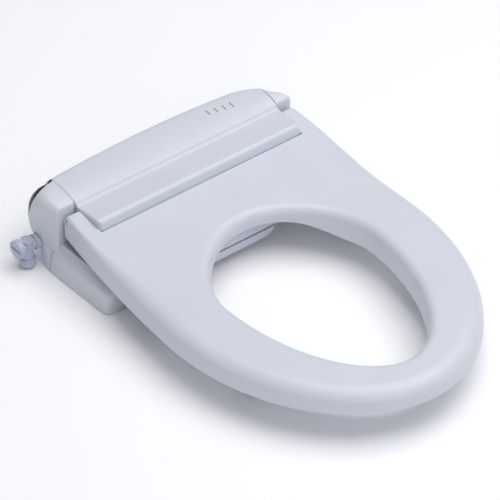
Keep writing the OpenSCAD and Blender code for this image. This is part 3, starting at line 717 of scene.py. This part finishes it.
def window_planes(gap):
    """The two planes that bound the window, each moved in by the gap: points and normals."""
    x, y, z = WINDOW_AT
    return ((Vector((x, y + gap, z)) * MM, Vector(WINDOW_NORMAL)),
            (Vector((0, 0, WINDOW_Z + gap)) * MM, Vector((0, 0, 1))))


def bisect(bm, plane, **clear):
    """Cuts all of a mesh by one plane; clear_inner drops what lies behind the plane."""
    place, normal = plane
    bmesh.ops.bisect_plane(bm, geom=list(bm.verts) + list(bm.edges) + list(bm.faces),
                           plane_co=place, plane_no=normal, **clear)


def keep_window(mesh):
    """Leaves only the window's part of the left cap."""
    for plane in window_planes(WINDOW_GAP):
        bm = bmesh.new()
        bm.from_mesh(mesh)
        bisect(bm, plane, clear_inner=True)
        bm.to_mesh(mesh)
        bm.free()


def open_window(mesh):
    """Takes the window's part out of the left cover."""
    bm = bmesh.new()
    bm.from_mesh(mesh)
    planes = window_planes(0)
    for plane in planes:
        bisect(bm, plane)
    gone = [f for f in bm.faces
            if all((f.calc_center_median() - place).dot(normal) > 0 for place, normal in planes)]
    bmesh.ops.delete(bm, geom=gone, context="FACES")
    bm.to_mesh(mesh)
    bm.free()


# ---------- colours and materials ----------


def linear(code):
    """An sRGB hex colour as linear RGBA."""
    c = [int(code[i:i + 2], 16) / 255 for i in (1, 3, 5)]
    return [v / 12.92 if v <= 0.04045 else ((v + 0.055) / 1.055) ** 2.4 for v in c] + [1.0]


def add(tree, kind, inputs=None, **options):
    """Adds a node with its options; an input is a value or another node's output socket."""
    node = tree.nodes.new(kind)
    for key, value in options.items():
        setattr(node, key, value)
    for key, value in (inputs or {}).items():
        if isinstance(value, bpy.types.NodeSocket):
            tree.links.new(value, node.inputs[key])
        else:
            node.inputs[key].default_value = value
    return node


def surface(name, colour, roughness, **sockets):
    """A material with one Principled shader; also its tree, shader and Object coordinates."""
    made = bpy.data.materials.new(name)
    made.use_nodes = True
    tree = made.node_tree
    tree.nodes.clear()
    shader = add(tree, "ShaderNodeBsdfPrincipled",
                 {"Base Color": linear(colour), "Roughness": roughness, **sockets})
    add(tree, "ShaderNodeOutputMaterial", {"Surface": shader.outputs["BSDF"]})
    place = add(tree, "ShaderNodeTexCoord").outputs["Object"]
    made.diffuse_color = linear(colour)
    return made, tree, shader, place


def noise(tree, place, size_mm, detail=2.0, rough=0.5):
    """Noise whose features are about size_mm across."""
    return add(tree, "ShaderNodeTexNoise", {"Vector": place, "Scale": 1000 / size_mm,
                                            "Detail": detail, "Roughness": rough}).outputs["Fac"]


def ramp(tree, value, low, high, to_low, to_high):
    """Maps a value between two limits onto a new range."""
    return add(tree, "ShaderNodeMapRange", {"Value": value, "From Min": low, "From Max": high,
                                            "To Min": to_low, "To Max": to_high}).outputs["Result"]


def bump(tree, shader, height, distance_mm, strength):
    """Feeds a height into the shader's normal, with its depth in millimetres."""
    node = add(tree, "ShaderNodeBump", {"Height": height, "Distance": distance_mm * MM,
                                        "Strength": strength})
    tree.links.new(node.outputs["Normal"], shader.inputs["Normal"])


def tint(tree, shader, factor, colour_a, colour_b):
    """Base colour drawn between two near shades by a factor."""
    mix = add(tree, "ShaderNodeMix", {"Factor": factor, 6: linear(colour_a), 7: linear(colour_b)},
              data_type="RGBA")
    tree.links.new(mix.outputs[2], shader.inputs["Base Color"])


def uneven_gloss(tree, shader, place, size_mm, low, high):
    """Roughness that wanders between two values over patches of size_mm."""
    worn = ramp(tree, noise(tree, place, size_mm, 3), 0.3, 0.7, low, high)
    tree.links.new(worn, shader.inputs["Roughness"])


def moulded(name, colour, shade, roughness, grain_mm, depth_mm, gloss=0.5, wave_mm=60):
    """Moulded plastic: a faint flow in the colour, a fine mould texture and uneven gloss."""
    made, tree, shader, place = surface(name, colour, roughness,
                                        **{"Specular IOR Level": gloss, "IOR": 1.49})
    tint(tree, shader, ramp(tree, noise(tree, place, wave_mm), 0.3, 0.7, 0, 1), colour, shade)
    uneven_gloss(tree, shader, place, wave_mm / 3, roughness - 0.03, roughness + 0.04)
    bump(tree, shader, noise(tree, place, grain_mm, 3), depth_mm, 0.4)
    return made


MATERIALS = {}


def paint(node_name, material):
    """Gives a carried-over frame node its finish."""
    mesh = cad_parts[node_name].data
    mesh.materials.clear()
    mesh.materials.append(material)


# ---------- settings ----------


class BidetSettings(bpy.types.PropertyGroup):
    """Finishes and light that a user would change."""

    casing_colour: bpy.props.StringProperty(
        name="Casing", description="sRGB colour of the casing and the seat", default="#D3D7DF")
    light_power: bpy.props.FloatProperty(
        name="Key light", description="Power of the large light above", default=60.0,
        min=0.0, unit="POWER")
    sky: bpy.props.FloatProperty(
        name="Surround", description="Strength of the even light all round", default=0.34,
        min=0.0, max=2.0)
    wall: bpy.props.FloatProperty(
        name="Shell wall", description="Thickness of the moulded shells", default=0.0015,
        min=0.001, max=0.005, unit="LENGTH", subtype="DISTANCE")


def settings():
    """The scene's own copy of the settings."""
    return bpy.context.scene.bidet_seat


# ---------- operators ----------


class BIDET_OT_materials(bpy.types.Operator):
    """Make every finish used on the seat"""

    bl_idname = "bidet.materials"
    bl_label = "Make Finishes"

    def execute(self, context):
        casing = settings().casing_colour
        MATERIALS.update({
            # glossy moulded ABS: broad soft highlights, almost no texture
            "casing": moulded("moulded_abs_white", casing, "#D0D4DD", 0.33, 1.6, 0.012),
            # moulded PP: a slightly softer sheen than the casing's
            "seat": moulded("moulded_pp_white", casing, "#D0D4DD", 0.36, 1.8, 0.012),
            # the same PP off an unpolished mould: duller, with a visible grain
            "seat_base": moulded("moulded_pp_grey_white", "#D2D5DF", "#CBCFDA", 0.48, 1.2, 0.03),
            # matt PP of the housing: greyer than the casing, highlights spread wide
            "housing": moulded("fine_matt_pp_grey", "#CDD1DC", "#C6CAD6", 0.42, 1.0, 0.03),
            # smoked polycarbonate: reads as black with one sharp highlight
            "window": moulded("smoked_polycarbonate", "#0B0B0D", "#121215", 0.12, 2.5, 0.004),
            # tinted lens, unlit: a mid grey bar
            "lens": moulded("translucent_grey_lens", "#7C8392", "#747B8B", 0.3, 1.5, 0.01),
            # satin film over the sensor: only just apart from the casing
            "sensor": moulded("satin_sensor_panel", "#D6D9E2", "#D1D4DE", 0.4, 1.0, 0.02),
            # satin POM: cool grey with a waxy sheen
            "inlet": moulded("satin_pom_grey", "#B9C0D2", "#B2B9CC", 0.36, 1.5, 0.015),
            # polished ABS: clean white, a tight highlight along the tube
            "nozzle": moulded("polished_abs_nozzle", "#ECEDF0", "#E6E8EC", 0.22, 2.0, 0.006),
            # natural acetal: warm white, waxy
            "resin": moulded("acetal_gear_resin", "#ECECE6", "#E3E3DC", 0.38, 1.2, 0.02),
            # moulded rubber: mid grey, no clear highlight
            "rubber": moulded("moulded_rubber_grey", "#8B8E96", "#82858D", 0.68, 0.8, 0.05, 0.3),
            # EPDM: near black and dull
            "gasket": moulded("black_epdm", "#1B1B1D", "#222225", 0.6, 0.8, 0.05, 0.3),
            # glass-filled resin: tan, rough from its fibres
            "heater": moulded("glass_filled_resin", "#B98A5C", "#A97C51", 0.55, 0.8, 0.05),
            # coloured nylon of the valve: dark blue, soft sheen
            "valve": moulded("blue_valve_resin", "#35557F", "#2D4A70", 0.45, 1.2, 0.03),
            # black nylon of the pump: soft sheen
            "pump": moulded("black_pump_resin", "#26272B", "#2E2F33", 0.5, 1.2, 0.03),
            # extruded silicone: milky, soft sheen
            "pipe": moulded("extruded_silicone", "#E3DFD0", "#DAD5C5", 0.5, 1.5, 0.02),
            # solder resist: glossy green
            "board": moulded("solder_resist_green", "#235B36", "#1E5030", 0.35, 2.0, 0.02),
            # poured potting resin: dull violet grey
            "potting": moulded("potting_resin", "#5E5870", "#555066", 0.45, 2.0, 0.03),
        })
        # zinc-plated steel: cool grey metal, its gloss patchy
        steel, tree, shader, place = surface("zinc_plated_steel", "#A7A9AE", 0.32, Metallic=1.0)
        uneven_gloss(tree, shader, place, 3.0, 0.24, 0.42)
        bump(tree, shader, noise(tree, place, 0.9, 2), 0.02, 0.3)
        # turned brass: warm metal, its gloss patchy
        brass, tree, shader, place = surface("turned_brass", "#B79A5B", 0.3, Metallic=1.0)
        uneven_gloss(tree, shader, place, 2.0, 0.22, 0.4)
        # aluminium foil: bright and slightly crumpled
        foil, tree, shader, place = surface("heater_foil", "#BFC2C6", 0.35, Metallic=1.0)
        bump(tree, shader, noise(tree, place, 4.0, 3), 0.1, 0.4)
        # woven steel mesh: fine ribs that catch the light
        mesh, tree, shader, place = surface("woven_steel_mesh", "#B5B2A4", 0.4, Metallic=1.0)
        weave = add(tree, "ShaderNodeTexWave", {"Vector": place, "Scale": 1000 / 1.2},
                    bands_direction="X")
        bump(tree, shader, weave.outputs["Fac"], 0.1, 0.6)
        MATERIALS.update({"steel": steel, "brass": brass, "foil": foil, "mesh": mesh})
        return {"FINISHED"}


class BIDET_OT_seat(bpy.types.Operator):
    """Build the seat ring with its hinge arms"""

    bl_idname = "bidet.seat"
    bl_label = "Build Seat Ring"

    def execute(self, context):
        form, wall = SeatForm(), settings().wall / MM
        ring = form.build().finish("seat_ring_shell", MATERIALS["seat"], 40, wall)
        settle(ring, "seat", "seat_white", "seat_upper_shell")
        plate = form.plate().finish("seat_underside", MATERIALS["seat_base"], 40, 2.0)
        settle(plate, "seat", "seat_base_grey", "seat_lower_shell")
        return {"FINISHED"}


class BIDET_OT_covers(bpy.types.Operator):
    """Build the middle cover and both side covers"""

    bl_idname = "bidet.covers"
    bl_label = "Build Covers"

    lamps = 4
    lamp_x, lamp_step, lamp_wide = 71.0, 10.6, 1.4
    lamp_y, lamp_fall, lamp_long = 37.7, 1.8, 9.6
    sensor_x, sensor_y = (118.5, 131.5), (23, 37)

    def execute(self, context):
        wall = settings().wall / MM
        cover = top_cover_shell().finish("middle_cover_shell", MATERIALS["casing"], 40, wall)
        settle(cover, "base_unit", "casing_white", "top_cover")
        for left, name, node in ((True, "left_cover_shell", "left_side_cover"),
                                 (False, "right_cover_shell", "right_side_cover")):
            shell, grid = side_cover(left)
            side = shell.finish(name, MATERIALS["casing"], 32, wall)
            if left:
                open_window(side.data)
                pane = Shell()
                pane.grid(grid)
                window = pane.finish("receiver_window_shell", MATERIALS["window"], 40, wall)
                keep_window(window.data)
                settle(window, "base_unit", "smoked_window", "receiver_window")
            settle(side, "base_unit", "casing_white", node)
        strips = Shell()
        for k in range(self.lamps):
            x, y = self.lamp_x + self.lamp_step * k, self.lamp_y - self.lamp_fall * k
            strips.join(panel_patch(x, x + self.lamp_wide, y, y + self.lamp_long, 0.12, 0.2))
        lamps = strips.finish("indicator_strips", MATERIALS["lens"], 40, 0, 0.001)
        settle(lamps, "base_unit", "lens_grey", "indicator_lenses")
        patch = panel_patch(*self.sensor_x, *self.sensor_y, 0.08, 0.3)
        sensor = patch.finish("occupancy_sensor_window", MATERIALS["sensor"])
        settle(sensor, "base_unit", "sensor_grey", "sensor_window")
        return {"FINISHED"}


class BIDET_OT_housing(bpy.types.Operator):
    """Build the nozzle housing and its flap"""

    bl_idname = "bidet.housing"
    bl_label = "Build Nozzle Housing"

    wall = 1.1
    plate = 1.8
    everywhere = (-1, 99)

    def execute(self, context):
        front, back = SNOUT_LOW[1], SNOUT_HIGH[1]
        u = snout_outline(*self.everywhere, 0)
        y = np.linspace(front + self.plate + 0.1, back, 12)
        tube = np.stack([np.column_stack([u[:, 0], np.full(len(u), v), u[:, 1]]) for v in y])
        shell = Shell()
        shell.grid(tube)
        shell.grid(np.stack([tube[:, -1], tube[:, 0]], 1))
        housing = shell.finish("nozzle_housing_shell", MATERIALS["housing"], 40, self.wall)
        settle(housing, "base_unit", "housing_grey", "nozzle_housing")
        below, above = self.everywhere
        for name, low, high, inset, body, nodes in (
                ("nozzle_housing_front", SNOUT_SEAM + 0.7, above, 0.0, "base_unit", ()),
                ("nozzle_flap", below, SNOUT_SEAM - 0.7, 1.3, "shutter", ("nozzle_shutter",))):
            outline = snout_outline(low, high, inset)
            rows = front_plate(outline, front, front + self.plate, self.plate / 2)
            plate = Shell()
            plate.grid(rows, wrap=True)
            plate.face(rows[:, 0])
            plate.face(rows[:, -1])
            settle(plate.finish(name, MATERIALS["housing"], 50), body, "housing_grey", *nodes)
        return {"FINISHED"}


class BIDET_OT_frame_nodes(bpy.types.Operator):
    """Give every carried-over frame node its finish"""

    bl_idname = "bidet.frame_nodes"
    bl_label = "Finish Frame Nodes"

    finishes = {
        "lower_case": "casing",
        "mounting_plate": "housing", "case_screws": "steel",
        "nozzle_guide": "housing", "nozzle_motor": "steel", "drive_pinion": "resin",
        "nozzle_tube": "nozzle", "nozzle_tip": "nozzle", "nozzle_rack": "resin",
        "water_heater": "heater",
        "heater_sensor": "brass", "inlet_valve": "valve", "flow_pump": "pump",
        "supply_pipe": "pipe", "heater_pipe": "pipe", "control_board": "board",
        "power_supply": "potting", "cord_gland": "gasket", "release_button": "housing",
        "hinge_damper_left": "nozzle", "hinge_damper_right": "nozzle", "inlet_body": "inlet",
        "inlet_gasket": "gasket", "drain_plug": "inlet", "inlet_strainer": "mesh",
        "seat_heater": "foil", "hinge_pin_left": "steel",
        "hinge_pin_right": "steel", "seat_bumpers": "rubber",
    }

    def execute(self, context):
        for name, finish in self.finishes.items():
            paint(name, MATERIALS[finish])
        return {"FINISHED"}


class BIDET_OT_stage(bpy.types.Operator):
    """Set up the floor, the soft lights and the camera"""

    bl_idname = "bidet.stage"
    bl_label = "Set Up Stage"

    azimuth = -38.23
    elevation = 39.93
    roll = 0.14
    distance = 5.8258
    target = (-0.0212, -0.1573, 0.06165)
    lens = 360.0
    floor_half = 9000
    lit = (0, -0.2, 0)
    lights = (("key", (0.6, -0.5, 2.6), 2.6, 1.0), ("fill", (-0.8, -2.2, 1.4), 1.8, 0.12))

    def execute(self, context):
        scene = context.scene
        scene.view_settings.view_transform = "Standard"
        floor_made, tree, shader, place = surface("studio_floor", "#FFFFFF", 0.9)
        shell = Shell()
        reach = np.linspace(-self.floor_half, self.floor_half, 5)
        x, y = np.meshgrid(reach, reach, indexing="ij")
        shell.grid(np.stack([x, y, np.full_like(x, -0.5)], -1))
        floor = shell.finish("studio_floor", floor_made)
        world = bpy.data.worlds.new("studio_surround")
        world.use_nodes = True
        back = world.node_tree.nodes["Background"]
        back.inputs["Color"].default_value = (0.93, 0.96, 1.06, 1)
        back.inputs["Strength"].default_value = settings().sky
        scene.world = world
        for name, place, size, share in self.lights:
            light = bpy.data.lights.new(name, "AREA")
            light.size = size
            light.energy = settings().light_power * share
            lamp = bpy.data.objects.new(name, light)
            lamp.location = place
            aim = Vector(place) - Vector(self.lit)
            lamp.rotation_euler = aim.to_track_quat("Z", "Y").to_euler()
            scene.collection.objects.link(lamp)
        a, e = math.radians(self.azimuth), math.radians(self.elevation)
        away = Vector((math.sin(a) * math.cos(e), -math.cos(a) * math.cos(e), math.sin(e)))
        data = bpy.data.cameras.new("camera")
        data.lens = self.lens
        data.sensor_width = 36.0
        data.clip_end = 100
        camera = bpy.data.objects.new("camera", data)
        camera.location = Vector(self.target) + away * self.distance
        turn = (-away).to_track_quat("-Z", "Y").to_matrix().to_4x4()
        camera.rotation_euler = turn.to_euler()
        camera.rotation_euler.rotate_axis("Z", math.radians(self.roll))
        scene.collection.objects.link(camera)
        scene.camera = camera
        return {"FINISHED"}


class BIDET_PT_panel(bpy.types.Panel):
    """Lists the build steps and the finishes"""

    bl_idname = "BIDET_PT_panel"
    bl_label = "Bidet Seat"
    bl_space_type = "VIEW_3D"
    bl_region_type = "UI"
    bl_category = "Bidet Seat"

    def draw(self, context):
        for name in ("casing_colour", "light_power", "sky", "wall"):
            self.layout.prop(context.scene.bidet_seat, name)
        for step in STEPS:
            self.layout.operator(step.bl_idname)


STEPS = (BIDET_OT_materials, BIDET_OT_seat, BIDET_OT_covers, BIDET_OT_housing,
         BIDET_OT_frame_nodes, BIDET_OT_stage)
CLASSES = (BidetSettings, *STEPS, BIDET_PT_panel)


def register():
    """Adds the settings, the steps and the panel to Blender."""
    for one in CLASSES:
        bpy.utils.register_class(one)
    bpy.types.Scene.bidet_seat = bpy.props.PointerProperty(type=BidetSettings)


def unregister():
    """Takes them out again."""
    del bpy.types.Scene.bidet_seat
    for one in reversed(CLASSES):
        bpy.utils.unregister_class(one)


def main():
    """Runs every step in order."""
    register()
    for step in STEPS:
        group, name = step.bl_idname.split(".")
        getattr(getattr(bpy.ops, group), name)()


if __name__ == "__main__":
    main()
